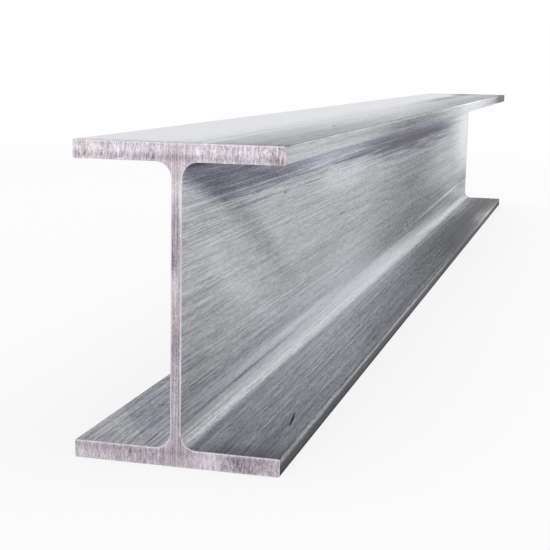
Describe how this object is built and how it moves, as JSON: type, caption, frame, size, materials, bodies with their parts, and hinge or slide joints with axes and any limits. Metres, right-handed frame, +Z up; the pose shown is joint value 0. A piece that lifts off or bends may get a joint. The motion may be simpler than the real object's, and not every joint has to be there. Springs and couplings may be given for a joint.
{
  "type": "h-beam",
  "caption": "Length of extruded aluminium H-beam with parallel flanges, a thin web with rounded roots and square-sawn ends, for frames, rails and lintels.",
  "frame": {"origin": "centre of the lower flange's underside, half way along the beam, at floor level", "axes": "+Y along the beam, +Z up the web from the lower flange to the upper one, +X across the flanges"},
  "size_m": [0.1016, 1.2192, 0.1524],
  "materials": {
    "mill_aluminium": "mill finish with fine die lines along the length, and bright fine-sawn ends"
  },
  "bodies": {
    "root": {"h_beam": "mill_aluminium"}
  },
  "joints": []
}
